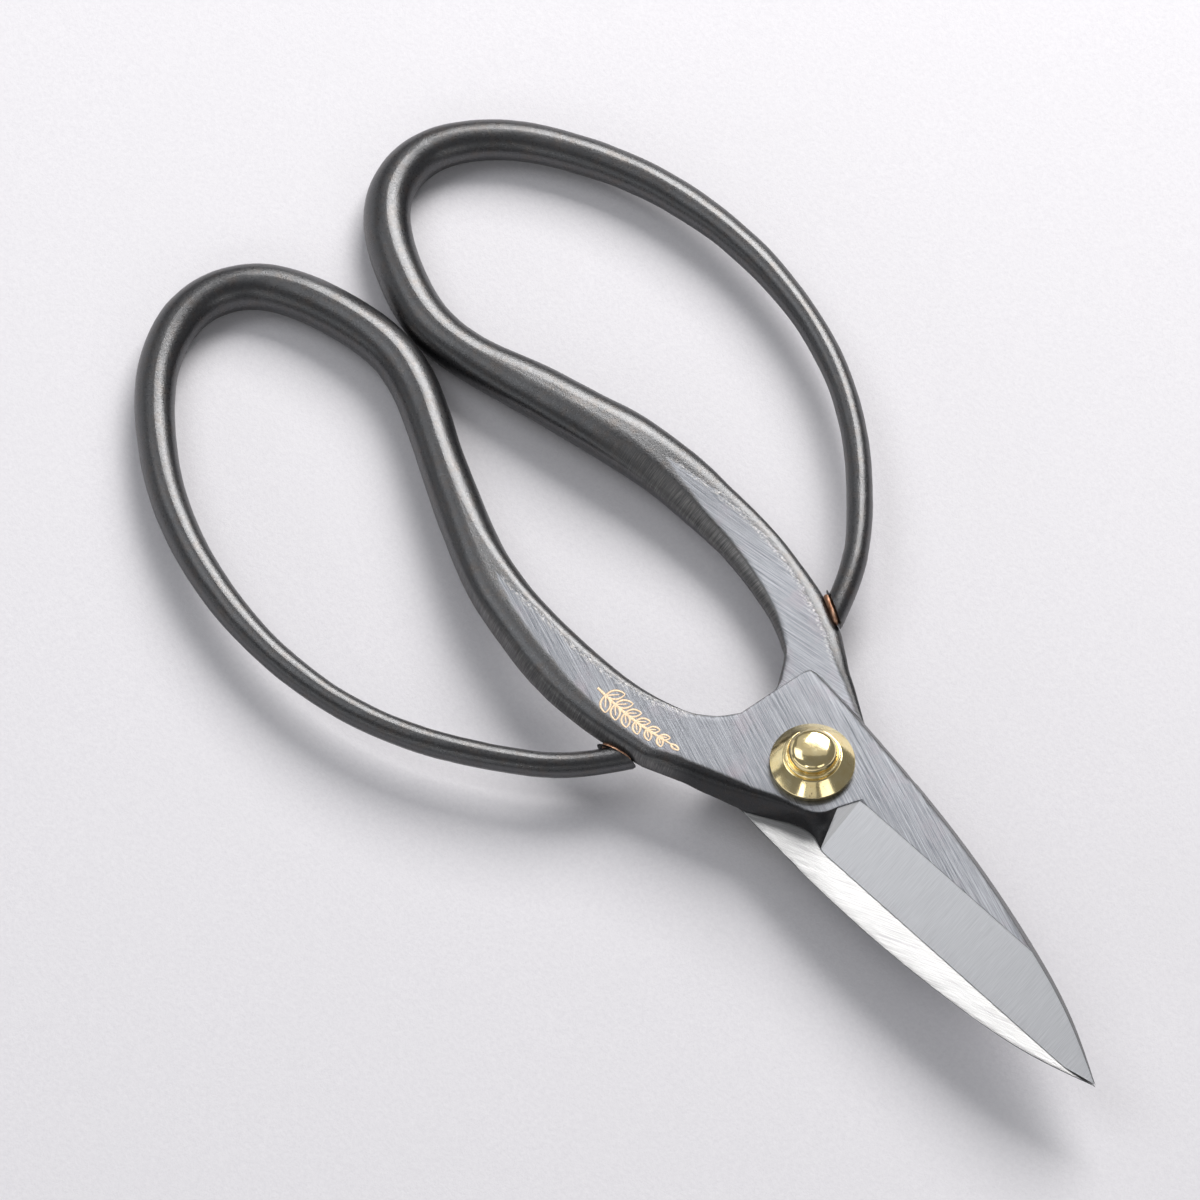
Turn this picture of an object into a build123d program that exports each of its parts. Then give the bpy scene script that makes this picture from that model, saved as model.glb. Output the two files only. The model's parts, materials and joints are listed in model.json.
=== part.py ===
from build123d import *
import math
import os

os.makedirs("parts", exist_ok=True)

# Floral snips: two forged steel halves crossed on one brass rivet.
# +X runs from the pivot to the blade tip, +Y toward the lower half's bow,
# +Z toward the stamped face. The origin is on the pivot axis, on the flat
# crown of the back rivet head.

# ---- driving dimensions (mm) ----
# blades
blade_reach = 62.0          # pivot axis to tip
plate_t = 3.5               # thickness of each half at the pivot
slip_gap = 0.1              # running gap between the two ground inner faces
heel_x = 9.8                # start of the cutting edge
heel_y = 6.45
edge_end_x = 57.0           # where the straight edge turns in to the point
edge_end_y = 1.5
edge_land = 0.12            # thickness left at the honed edge
bevel_angle = 23.0          # ground bevel against the inner face
ramp_angle = 46.0           # run-out of the bevel at the heel
spine_draft = 1.6           # how far the spine leans in over the thickness

# bows and shanks
bar_top = 7.0               # bow bar where the hand closes on it
bar_tail = 3.65             # bow bar at its thin end
bow_gap = 0.3               # gap between the two bows when closed
round_limit = 3.3           # largest corner radius on the bar
shank_corner = 1.55         # rounded edges of the flattened shank

# thin end of the bow, brazed along its own shank
tail_end = (-19.3, 20.4, -0.7)
foot_w = 5.4
foot_h = 3.3
braze_t = 1.3

# brass
rivet_r = 2.5
bore_clearance = 0.05       # radial running clearance in each half
washer_r = 6.0
washer_rim = 0.9
washer_top_r = 4.15
washer_h = 2.5
washer_slip = 0.05          # gap between front washer and upper half
collar_r = 3.95
collar_h = 0.7
dome_r = 3.4
dome_h = 2.0
dome_side = 0.45
tail_r = 3.7
tail_h = 1.6
tail_flat_r = 1.8

parting_z = tail_h + washer_h + plate_t + slip_gap / 2

# Bow: points on the bar's centre line from the thin tail round the finger
# loop to the hand. Each row is x, y and bar diameter.
bow_rows = [
    (-23.3, 26.6, bar_tail),
    (-30.0, 33.1, 3.8),
    (-39.5, 39.9, 3.85),
    (-50.8, 44.95, 3.95),
    (-63.4, 47.4, 4.35),
    (-76.3, 47.25, 4.85),
    (-89.6, 44.3, 5.3),
    (-102.2, 38.1, 5.75),
    (-112.4, 28.7, 6.15),
    (-115.4, 19.8, 6.5),
    (-112.9, 12.6, 6.8),
    (-106.9, 7.9, bar_top),
    (-99.5, 5.0, bar_top),
    (-92.0, bar_top / 2 + bow_gap / 2, bar_top),
    (-84.0, 4.85, bar_top),
]
# Shank, from the hand to the pivot: x, y and plan width. The two forgings
# are a pair but not quite equal.
lower_shank = [
    (-75.5, 8.0, 7.9),
    (-66.0, 11.35, 8.5),
    (-58.0, 14.0, 8.9),
    (-50.5, 15.9, 8.9),
    (-43.0, 17.0, 8.9),
    (-35.5, 17.6, 8.95),
    (-28.5, 17.15, 9.0),
    (-22.5, 16.15, 9.0),
    (-17.0, 14.35, 9.3),
    (-12.0, 12.0, 9.8),
]
upper_shank = [
    (-75.5, 8.05, 6.8),
    (-66.0, 11.65, 7.1),
    (-58.0, 14.4, 7.5),
    (-50.5, 16.3, 8.3),
    (-43.0, 17.2, 9.4),
    (-35.5, 17.4, 10.6),
    (-28.5, 16.7, 10.7),
    (-22.5, 15.4, 10.6),
    (-17.0, 13.6, 10.8),
    (-12.0, 11.3, 11.0),
]
# The bar is round and centred on the inner face at the hand. Toward the
# pivot it is hammered and ground to the plate thickness, to one side of that
# face: height of its inner side at each shank row.
inner_side = [3.5, 3.5, 3.1, 2.0, 0.9, 0.15, 0.0, 0.0, 0.0, 0.0]


def head_outline(k):
    """Closed outline of the head and blade, k = 0 inner face, k = 1 outer face."""

    def at(inner, outer):
        return (inner[0] + k * (outer[0] - inner[0]), inner[1] + k * (outer[1] - inner[1]))

    root = at((-13.0, 2.3), (-12.5, 2.6))
    corner_a = at((-12.95, -10.2), (-12.2, -8.6))
    corner_mid = at((-12.7, -10.95), (-11.95, -9.35))
    corner_b = at((-12.0, -11.2), (-11.2, -9.6))
    tip = at((blade_reach, 0.05), (blade_reach - 3.2, 0.7))
    edge_end = at((edge_end_x, edge_end_y), (edge_end_x - 3.0, edge_end_y))
    heel = at((heel_x, heel_y), (8.3, 0.6))
    wall_end = at((-9.8, 15.3), (-9.9, 13.8))
    inner_end = at((-16.6, 7.9), (-16.4, 8.4))
    with BuildLine() as outline:
        Line(root, corner_a)
        ThreePointArc(corner_a, corner_mid, corner_b)
        Spline(
            corner_b,
            at((0.0, -11.1), (0.0, -11.1 + spine_draft)),
            at((20.0, -10.05), (20.0, -10.05 + spine_draft)),
            at((40.0, -7.15), (40.0, -7.15 + spine_draft)),
            at((52.0, -4.1), (51.0, -4.1 + spine_draft)),
            tip,
        )
        Line(tip, edge_end)
        Line(edge_end, heel)
        Spline(
            heel,
            at((8.0, 5.95), (7.3, 3.0)),
            at((4.6, 6.8), (4.2, 5.95)),
            at((-1.2, 11.0), (-1.5, 9.4)),
            at((-5.0, 13.1), (-5.4, 11.5)),
            wall_end,
        )
        Line(wall_end, inner_end)
        Spline(inner_end, at((-14.8, 5.7), (-14.3, 6.2)), root)
    return outline.edges()


def forged_half(shank_rows):
    """One half in the lower half's attitude, inner face on Z = 0."""
    rows = [(x, y, d, d, 0.0, min(0.47 * d, round_limit)) for x, y, d in bow_rows]
    for (x, y, w), top in zip(shank_rows, inner_side):
        h = plate_t + top
        corner = min(0.47 * h, 0.47 * w, round_limit)
        rows.append((x, y, w, h, (top - plate_t) / 2, max(corner, shank_corner)))
    with BuildLine() as centre:
        Spline([(row[0], row[1]) for row in rows])
    path = centre.edges()[0]

    with BuildPart() as half:
        # the thin tail ends in a wedge that lies along the shank's outer wall
        with BuildSketch(Plane(origin=tail_end, x_dir=(-0.94, 0.34, 0), z_dir=(0.34, 0.94, 0))):
            RectangleRounded(foot_w, foot_h, 1.4)
        for x, y, w, h, zc, corner in rows:
            t = path.tangent_at(path.param_at_point((x, y, 0)))
            with BuildSketch(Plane(origin=(x, y, zc), x_dir=(-t.Y, t.X, 0), z_dir=t)):
                RectangleRounded(w, h, corner)
        loft()

        # head and blade: a plate whose walls lean in toward the outer face
        with BuildSketch(Plane.XY):
            make_face(head_outline(0.0))
        with BuildSketch(Plane.XY.offset(-plate_t)):
            make_face(head_outline(1.0))
        loft(ruled=True)

        # ground bevel, with its sloping run-out at the heel
        edge = Vector(edge_end_x - heel_x, edge_end_y - heel_y, 0).normalized()
        tilt = math.radians(bevel_angle)
        outward = Vector(-edge.Y, edge.X, 0)
        normal = outward * math.sin(tilt) + Vector(0, 0, -math.cos(tilt))
        heel_point = Vector(heel_x, heel_y, -edge_land)
        with BuildSketch(Plane(origin=heel_point, x_dir=edge, z_dir=normal)):
            with Locations((35, 4)):
                Rectangle(70, 16)
        extrude(amount=7, taper=-ramp_angle, mode=Mode.SUBTRACT)

        # rivet bore
        with Locations((0, 0, -plate_t)):
            Hole(radius=rivet_r + bore_clearance, depth=4 * plate_t)
    return half


def braze_block():
    """Slug of braze before the two steel surfaces bite into it."""
    with BuildPart() as block:
        with BuildSketch(Plane(origin=tail_end, x_dir=(-0.94, 0.34, 0), z_dir=(0.34, 0.94, 0))):
            RectangleRounded(foot_w + 0.3, foot_h + 0.1, 1.5)
        extrude(amount=braze_t / 2, both=True)
    return block


def cone_washer(base_z, up):
    """Conical brass washer standing on base_z, its cone pointing up or down."""
    with BuildPart() as washer:
        with BuildSketch(Plane.XZ):
            with BuildLine() as section:
                Polyline(
                    (rivet_r + bore_clearance, base_z),
                    (washer_r, base_z),
                    (washer_r, base_z + up * washer_rim),
                    (washer_top_r, base_z + up * washer_h),
                    (rivet_r + bore_clearance, base_z + up * washer_h),
                    close=True,
                )
            make_face(section.edges())
        revolve(axis=Axis.Z)
    return washer


lower = forged_half(lower_shank)
upper = forged_half(upper_shank)
block = braze_block()

with BuildPart() as lower_half:
    with Locations((0, 0, parting_z - slip_gap / 2)):
        add(lower.part)
lower_half.part.label = "lower_half"
export_step(lower_half.part, "parts/lower_half.step")

with BuildPart() as upper_half:
    with Locations((0, 0, parting_z + slip_gap / 2)):
        add(upper.part, rotation=(180, 0, 0))
upper_half.part.label = "upper_half"
export_step(upper_half.part, "parts/upper_half.step")

# brazing metal that joins each bow's thin end to its own shank
with BuildPart() as lower_braze:
    with Locations((0, 0, parting_z - slip_gap / 2)):
        add(block.part)
    add(lower_half.part, mode=Mode.SUBTRACT)
lower_braze.part.label = "lower_braze"
export_step(lower_braze.part, "parts/lower_braze.step")

with BuildPart() as upper_braze:
    with Locations((0, 0, parting_z + slip_gap / 2)):
        add(block.part, rotation=(180, 0, 0))
    add(upper_half.part, mode=Mode.SUBTRACT)
upper_braze.part.label = "upper_braze"
export_step(upper_braze.part, "parts/upper_braze.step")

front_face_z = parting_z + slip_gap / 2 + plate_t
front_washer = cone_washer(front_face_z + washer_slip, 1)
front_washer.part.label = "front_washer"
export_step(front_washer.part, "parts/front_washer.step")

back_washer = cone_washer(parting_z - slip_gap / 2 - plate_t, -1)
back_washer.part.label = "back_washer"
export_step(back_washer.part, "parts/back_washer.step")

# domed rivet: collar and dome in front, peened tail with a flat crown behind
head_z = front_face_z + washer_slip + washer_h
collar_top = head_z + collar_h
with BuildPart() as pivot_rivet:
    with BuildSketch(Plane.XZ):
        with BuildLine() as profile:
            Line((0, 0), (tail_flat_r, 0))
            TangentArc((tail_flat_r, 0), (tail_r, tail_h - 0.4), tangent=(1, 0))
            Polyline(
                (tail_r, tail_h - 0.4),
                (tail_r, tail_h),
                (rivet_r, tail_h),
                (rivet_r, head_z),
                (collar_r, head_z),
                (collar_r, collar_top - 0.25),
                (collar_r - 0.25, collar_top),
                (dome_r - 0.1, collar_top - 0.12),
                (dome_r, collar_top + dome_side),
            )
            Spline((dome_r, collar_top + dome_side), (0, collar_top + dome_h), tangents=[(0, 1), (-1, 0)])
            Line((0, collar_top + dome_h), (0, 0))
        make_face(profile.edges())
    revolve(axis=Axis.Z)
pivot_rivet.part.label = "pivot_rivet"
export_step(pivot_rivet.part, "parts/pivot_rivet.step")
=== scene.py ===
import json
import math
from types import SimpleNamespace

import bpy
import numpy as np
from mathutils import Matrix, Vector, noise


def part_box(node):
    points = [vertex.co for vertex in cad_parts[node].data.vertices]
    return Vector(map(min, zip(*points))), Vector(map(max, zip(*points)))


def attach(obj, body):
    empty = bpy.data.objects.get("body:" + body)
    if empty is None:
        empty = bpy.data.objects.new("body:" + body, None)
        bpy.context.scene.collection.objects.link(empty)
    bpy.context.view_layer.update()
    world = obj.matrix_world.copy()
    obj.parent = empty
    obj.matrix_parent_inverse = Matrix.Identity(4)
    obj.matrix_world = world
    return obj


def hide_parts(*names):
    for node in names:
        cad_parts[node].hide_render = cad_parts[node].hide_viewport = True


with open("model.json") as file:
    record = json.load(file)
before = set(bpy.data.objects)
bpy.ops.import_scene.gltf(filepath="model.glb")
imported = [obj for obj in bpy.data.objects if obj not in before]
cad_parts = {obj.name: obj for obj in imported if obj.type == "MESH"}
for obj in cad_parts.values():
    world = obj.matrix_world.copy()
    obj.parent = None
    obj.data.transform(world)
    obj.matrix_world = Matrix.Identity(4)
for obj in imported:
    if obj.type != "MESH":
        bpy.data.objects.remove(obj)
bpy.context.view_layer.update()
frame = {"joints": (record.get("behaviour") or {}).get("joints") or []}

# Floral snips. Lengths are in millimetres until a mesh is written in metres.
# Each half is worked out in the lower half's attitude, with its ground inner
# face on z = 0, its outer face on z = -plate_t and its bow on the +y side.
# The upper half is the same forging turned half a turn about x.

MM = 0.001
TINY = 1e-6                 # keeps a length that may be nothing out of a division
parting_z = frame["joints"][0]["pos_m"][2] / MM
slip_gap = 0.1
plate_t = 3.5

# blade
blade_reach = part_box("lower_half")[1].x / MM
heel = (9.8, 6.45)
edge_end = (57.0, 1.5)
bevel_angle = 23.0
spine_draft = 1.6
spine_line = [
    (-12.0, -11.2),
    (0.0, -11.1),
    (20.0, -10.05),
    (40.0, -7.15),
    (52.0, -4.1),
    (blade_reach, 0.0),
]
edge_slant = math.atan2(heel[1] - edge_end[1], edge_end[0] - heel[0])

# bow: centre line and bar diameter, from the thin tail round to the hand
bow_rows = [
    (-23.3, 26.6, 3.65),
    (-30.0, 33.1, 3.8),
    (-39.5, 39.9, 3.85),
    (-50.8, 44.95, 3.95),
    (-63.4, 47.4, 4.35),
    (-76.3, 47.25, 4.85),
    (-89.6, 44.3, 5.3),
    (-102.2, 38.1, 5.75),
    (-112.4, 28.7, 6.15),
    (-115.4, 19.8, 6.5),
    (-112.9, 12.6, 6.8),
    (-106.9, 7.9, 7.0),
    (-99.5, 5.0, 7.0),
    (-92.0, 3.65, 7.0),
    (-84.0, 4.85, 7.0),
]
# shank centre line and plan width, from the hand to the head
lower_shank = [
    (-75.5, 8.0, 7.9),
    (-66.0, 11.35, 8.5),
    (-58.0, 14.0, 8.9),
    (-50.5, 15.9, 8.9),
    (-43.0, 17.0, 8.9),
    (-35.5, 17.6, 8.95),
    (-28.5, 17.15, 9.0),
    (-22.5, 16.15, 9.0),
    (-17.0, 14.35, 9.3),
]
upper_shank = [
    (-75.5, 8.05, 6.8),
    (-66.0, 11.65, 7.1),
    (-58.0, 14.4, 7.5),
    (-50.5, 16.3, 8.3),
    (-43.0, 17.2, 9.4),
    (-35.5, 17.4, 10.6),
    (-28.5, 16.7, 10.7),
    (-22.5, 15.4, 10.6),
    (-17.0, 13.6, 10.8),
]
# how the round bar turns into a flat one along those shank rows
inner_side = [3.5, 3.5, 3.1, 2.0, 0.9, 0.15, 0.0, 0.0, 0.0]
wall_lean = [0.0, 0.0, 0.2, 0.7, 1.7, 2.4, 2.0, 1.7, 1.5]
flat_share = [0.0, 0.05, 0.45, 0.85, 1.0, 1.0, 1.0, 1.0, 1.0]
# rounding of the four edges on their flat side: inner face, then outer face
inner_cut_a = [3.6, 3.5, 3.3, 3.0, 2.8, 2.7, 2.6, 2.9, 2.8]
inner_cut_b = [3.6, 3.9, 4.0, 3.2, 2.5, 2.0, 1.6, 1.0, 0.4]
outer_cut_a = [3.4, 3.5, 3.2, 2.9, 2.7, 2.4, 2.1, 1.7, 1.4]
outer_cut_b = [3.4, 3.5, 2.9, 2.3, 2.1, 2.2, 1.9, 1.4, 0.8]
ROUND = math.sqrt(0.5)      # conic weight of a true quarter circle
PLATE_WEIGHT = 0.8          # conic weight of the head's and blade's small edges
# cuts of the four edges on the head and on the blade
head_edge = np.array([[0.25, 0.3], [0.35, 0.35], [0.24, 0.24], [0.15, 0.15]])
blade_edge = np.array([[0.03, 0.03], [0.06, 0.06], [0.16, 0.16], [0.1, 0.1]])
# how far into the head, in rows of its plan, each edge keeps the shank's
# rounding, and over how many rows it then gives way to the head's
fade_start = np.array([0.5, 3.0, 0.0, 0.0])
fade_length = np.array([6.5, 8.0, 5.0, 5.0])

# tail of the bow: the bar runs on to a slanting cut that lies on its own shank
tail_cut = (-19.6, 19.75)   # a point on the cut
tail_face = (0.34, 0.94)    # direction the cut faces, in plan
tail_run = (-17.6, 17.3)    # where the bar's centre line would reach if uncut
tail_z = -0.55              # how far the tail drops toward the outer face
tail_sections = 14          # sections that the cut can reach
tail_way = (14, 6)          # the bar heads from one of these sections to the other there
braze_w = 5.0
braze_h = 2.45

# section mesh: points round each edge and along each face and wall
EDGE_POINTS = 8
FACE_POINTS = 9
WALL_POINTS = 5
# gap between the bar's sections, sections to each gap of the head's rows, and
# sections on the blade's straight edge and past its end
SECTION_GAP = 0.9
LAST_GAP = 0.4              # the bar's last gap is no shorter than this
HEAD_STEPS = 5
BLADE_SECTIONS = 44
POINT_SECTIONS = 10

# On a section, a mark runs from 0 to 4 round its edges: edge k is at mark k.
chamfer_mark = 2.72         # middle of the rubbed chamfer beside the far wall
chamfer_half = 0.45


# ---------------------------------------------------------------- curves

def cubic(knots, values):
    """A natural cubic through values at knots, as a function of the knot axis."""
    k = np.asarray(knots, float)
    v = np.asarray(values, float)
    h = np.diff(k)
    matrix = np.eye(len(k))
    right = np.zeros_like(v)
    for i in range(1, len(k) - 1):
        matrix[i, i - 1:i + 2] = h[i - 1], 2 * (h[i - 1] + h[i]), h[i]
        right[i] = 6 * ((v[i + 1] - v[i]) / h[i] - (v[i] - v[i - 1]) / h[i - 1])
    curve = np.linalg.solve(matrix, right)

    def at(x):
        x = np.atleast_1d(np.asarray(x, float))
        i = np.clip(np.searchsorted(k, x) - 1, 0, len(h) - 1)
        a = (k[i + 1] - x) / h[i]
        b = 1 - a
        if v.ndim > 1:
            a, b, step = a[:, None], b[:, None], h[i][:, None]
        else:
            step = h[i]
        bend = ((a ** 3 - a) * curve[i] + (b ** 3 - b) * curve[i + 1]) * step ** 2 / 6
        return a * v[i] + b * v[i + 1] + bend

    return at


def spread(rows, steps, creases=()):
    """Rows filled in smoothly, steps to each gap, with a corner at the rows named in creases."""
    rows = np.asarray(rows, float)
    n = len(rows)
    out = []
    for i in range(n - 1):
        here, there = rows[i], rows[i + 1]
        slope_a = there - here
        slope_b = there - here
        if i > 0 and i not in creases:
            slope_a = (there - rows[i - 1]) / 2
        if i < n - 2 and i + 1 not in creases:
            slope_b = (rows[i + 2] - here) / 2
        for s in np.arange(steps) / steps:
            out.append(
                (2 * s ** 3 - 3 * s ** 2 + 1) * here
                + (s ** 3 - 2 * s ** 2 + s) * slope_a
                + (3 * s ** 2 - 2 * s ** 3) * there
                + (s ** 3 - s ** 2) * slope_b
            )
    out.append(rows[-1])
    return np.array(out)


# -------------------------------------------------------------- sections
# A section has four edges, in this order round the bar: inner face to the
# loop-side wall, that wall to the outer face, outer face to the other wall,
# and that wall back to the inner face. Each edge is rounded by a conic that
# starts and ends a cut away from it.

def bow_row(x, y, d):
    """One round section of the bow: place, width, heights, lean, flatness, cuts and conic weights."""
    r = d / 2
    drop = tail_z if x > bow_rows[0][0] else 0.0
    return [x, y, d, r + drop, drop - r, 0.0, 0.0] + [r, r] * 4 + [ROUND] * 4


def shank_row(place, form):
    """The same values for one section of the shank, which turns from round to flat."""
    x, y, w = place
    top, lean, flat, in_a, out_a, out_b, in_b = form
    tall = plate_t + top
    edge = 0.3 + 0.7 * (1 - flat)
    cuts = [
        in_a, tall * 0.5 * edge + 1.2 * flat,
        out_a, tall * 0.5 * edge + 0.75 * flat,
        out_b, tall * (0.5 + 0.05 * flat),
        in_b, tall * 0.5 * edge * 0.8 + 0.7 * flat,
    ]
    weights = [ROUND, 0.9 * flat + ROUND * (1 - flat), ROUND, 0.35 * flat + ROUND * (1 - flat)]
    return [x, y, w, top, -plate_t, lean, flat] + cuts + weights


def bar_sections(shank_rows):
    """Sections of the bow and shank: corner points, cuts, conic weights and flatness."""
    rows = [bow_row(*tail_run, bow_rows[0][2])]
    rows += [bow_row(*row) for row in bow_rows]
    forms = zip(inner_side, wall_lean, flat_share, inner_cut_a, outer_cut_a, outer_cut_b, inner_cut_b)
    rows += [shank_row(place, form) for place, form in zip(shank_rows, forms)]
    rows = np.array(rows)
    chord = np.r_[0, np.cumsum(np.hypot(*np.diff(rows[:, :2], axis=0).T))]
    place = cubic(chord, rows[:, :2])
    full = chord[-1]
    along = np.arange(0, full, SECTION_GAP)
    along = np.r_[along[along < full - LAST_GAP], full]
    centre = place(along)
    probe = 0.05
    step = place(np.clip(along + probe, 0, full)) - place(np.clip(along - probe, 0, full))
    step /= np.linalg.norm(step, axis=1)[:, None]
    side = np.c_[-step[:, 1], step[:, 0]]
    width, z_in, z_out = cubic(chord, rows[:, 2:5])(along).T
    rest = np.array([np.interp(along, chord, rows[:, c]) for c in range(5, rows.shape[1])]).T
    lean, flat = rest[:, 0], rest[:, 1]

    def edge_points(offset, z):
        return np.c_[centre + side * offset[:, None], z]

    corners = np.stack([
        edge_points(width / 2, z_in),
        edge_points(width / 2 - lean, z_out),
        edge_points(-width / 2, z_out),
        edge_points(-width / 2, z_in),
    ], axis=1)
    return corners, rest[:, 2:10].reshape(-1, 4, 2), rest[:, 10:14], flat


def cut_tail(loop, heading):
    """Slides the points of a section that pass the tail's slanting cut back along the bar."""
    face = np.array([*tail_face, 0.0]) / np.hypot(*tail_face)
    past = (loop - np.array([*tail_cut, 0.0])) @ face
    back = np.minimum(past, 0.0) / (heading @ face)
    return loop - back[:, None] * heading


# rows of the head's plan that are corners, on the wall side and the spine side
wall_creases = (11, 12)
spine_creases = (3, 4, 6)


def head_rows():
    """Plan points of the four edges from the shank to the heel. The last gap but one is only a
    seam: the wall's dark surface stops there and the ground ramp starts."""
    seam = 0.03
    inner_a = [
        (-12.4, 17.1), (-9.8, 15.5), (-7.4, 14.35), (-5.0, 13.1), (-3.4, 12.25),
        (-2.4, 11.65), (-1.5, 11.1), (1.6, 8.9), (4.3, 6.95), (6.4, 6.1), (8.0, 5.98),
        heel, (heel[0] + seam, heel[1]), (heel[0] + 2 * seam, heel[1]),
    ]
    outer_a = [
        (-12.7, 15.35), (-10.0, 13.95), (-7.7, 12.8), (-5.4, 11.5), (-3.7, 10.6),
        (-2.7, 10.0), (-1.8, 9.45), (1.2, 7.55), (3.9, 6.3), (5.7, 5.3), (6.9, 3.7),
        (7.5, 1.5), (7.51, 1.47), (8.6, -1.72),
    ]
    inner_b = [
        (-17.9, 9.2), (-16.2, 7.75), (-14.7, 5.9), (-13.0, 2.3), (-12.95, -9.9),
        (-12.62, -10.88), (-11.6, -11.2), (-6.0, -11.25), (0.0, -11.1), (4.0, -10.98),
        (7.2, -10.85), (9.0, -10.75), (9.0 + seam, -10.75), (9.7, -10.72),
    ]
    outer_b = [
        (-17.6, 8.0), (-16.0, 6.8), (-14.2, 5.0), (-12.75, 2.5), (-12.3, -8.5),
        (-11.95, -9.35), (-11.0, -9.65), (-6.0, -9.65), (0.0, -9.5), (4.0, -9.38),
        (7.2, -9.25), (9.0, -9.15), (9.0 + seam, -9.15), (9.7, -9.12),
    ]
    outer = np.full(len(inner_a), -plate_t)
    inner = np.zeros(len(inner_a))
    return np.stack([
        np.c_[inner_a, inner],
        np.c_[outer_a, outer],
        np.c_[outer_b, outer],
        np.c_[inner_b, inner],
    ], axis=1)


def head_sections(bar):
    """Sections of the head, led in from the last sections of the shank."""
    rows = head_rows()
    rows[0, 2:] = (bar[-1, 2:] + rows[1, 2:]) / 2 + np.array([0.1, 0.1, 0.0])
    guide = np.concatenate([bar[[-4, -1]], rows])
    lead = len(guide) - len(rows)
    table = guide.reshape(len(guide), -1)
    wall_side = spread(table, HEAD_STEPS, [lead + k for k in wall_creases])
    spine_side = spread(table, HEAD_STEPS, [lead + k for k in spine_creases])
    head = np.concatenate([wall_side[:, :6], spine_side[:, 6:]], axis=1).reshape(-1, 4, 3)
    head = head[HEAD_STEPS + 1:]
    within_seam = np.arange(len(head) - 2 * HEAD_STEPS, len(head) - HEAD_STEPS - 1)
    return np.delete(head, within_seam, axis=0)


def blade_sections():
    """Sections of the blade: a flat bevel that rises until it meets the outer face or the spine.
    Near the point the outline turns in across that same bevel."""
    gap = 0.6
    blunt = 0.15
    least_bevel = 0.03          # width kept at the very point
    least_back = 0.02
    x = np.r_[
        np.linspace(heel[0] + gap, edge_end[0], BLADE_SECTIONS),
        np.linspace(edge_end[0] + gap, blade_reach - blunt, POINT_SECTIONS),
    ]
    line = np.interp(x, [heel[0], edge_end[0], blade_reach], [heel[1], edge_end[1], 0.0])
    straight = heel[1] - (x - heel[0]) * math.tan(edge_slant)
    spine = cubic(*np.array(spine_line).T)(x)
    rise = math.tan(math.radians(bevel_angle)) * math.cos(edge_slant)
    lean = spine_draft / plate_t
    meet = rise * (straight - spine) / (1 + rise * lean)
    tall = np.minimum(meet, plate_t)
    bevel_top = np.minimum(straight - tall / rise, line - least_bevel)
    spine_top = np.minimum(spine + lean * tall, bevel_top - least_back)
    level = np.zeros_like(x)
    return np.stack([
        np.c_[x, line, rise * (line - straight)],
        np.c_[x, bevel_top, -tall],
        np.c_[x, spine_top, -tall],
        np.c_[x, spine, level],
    ], axis=1)


def rounded_edge(corners, cuts, weight, reach, k):
    """Points of edge k: a conic that starts and ends a cut away from its corner."""
    along_face = k % 2 == 0
    here, before, after = corners[k], corners[k - 1], corners[(k + 1) % 4]
    back, ahead = cuts[k] if along_face else cuts[k][::-1]
    back_total = back + cuts[k - 1][0 if along_face else 1]
    ahead_total = ahead + cuts[(k + 1) % 4][1 if along_face else 0]
    back *= min(1.0, 0.999 * reach[k - 1] / max(back_total, TINY))
    ahead *= min(1.0, 0.999 * reach[k] / max(ahead_total, TINY))
    start = here + (before - here) * back / max(reach[k - 1], TINY)
    end = here + (after - here) * ahead / max(reach[k], TINY)
    points = []
    for t in np.linspace(0, 1, EDGE_POINTS):
        shares = np.array([(1 - t) ** 2, 2 * weight * t * (1 - t), t ** 2])
        points.append(shares / shares.sum() @ np.array([start, here, end]))
    return points


def ring(corners, cuts, weights):
    """Points round one section, each with its mark."""
    reach = [np.linalg.norm(corners[(k + 1) % 4] - corners[k]) for k in range(4)]
    edges = [rounded_edge(corners, cuts, weights[k], reach, k) for k in range(4)]
    points, marks = [], []
    for k in range(4):
        points += edges[k]
        marks += [k + (t - 0.5) * 0.4 for t in np.linspace(0, 1, EDGE_POINTS)]
        start, end = edges[k][-1], edges[(k + 1) % 4][0]
        gaps = (WALL_POINTS if k % 2 == 0 else FACE_POINTS) + 1
        for t in np.arange(1, gaps) / gaps:
            points.append(start * (1 - t) + end * t)
            marks.append(k + 0.2 + 0.6 * t)
    return np.array(points), np.array(marks)


def side_window(marks, k):
    """1 on the side after edge k, falling to 0 at the middle of the edges beside it."""
    off = np.abs((marks - (k + 0.5) + 2) % 4 - 2)
    return np.clip((0.5 - off) / 0.2, 0, 1)


def inside_faces(loop, marks):
    """How far each point lies inside the nearer ground face, negative on the edges and walls,
    and whether the border it is nearest to is the one that the face ends at."""
    run = np.r_[0, np.cumsum(np.linalg.norm(np.roll(loop, -1, axis=0) - loop, axis=1))]
    run, total = run[:-1], run[-1]
    depth = np.full(len(loop), -np.inf)
    late = np.zeros(len(loop))
    outer = run[np.argmin(np.abs(marks - 1.2))], run[np.argmin(np.abs(marks - 1.8))]
    inner = run[np.argmin(np.abs(marks - 3.2))], total
    for start, stop in (outer, inner):
        for lap in (0.0, total, -total):
            after_start = run + lap - start
            before_stop = stop - run - lap
            nearer = np.minimum(after_start, before_stop) > depth
            late = np.where(nearer, before_stop < after_start, late)
            depth = np.where(nearer, np.minimum(after_start, before_stop), depth)
    return depth, late


# ------------------------------------------------------------ two halves

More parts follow.
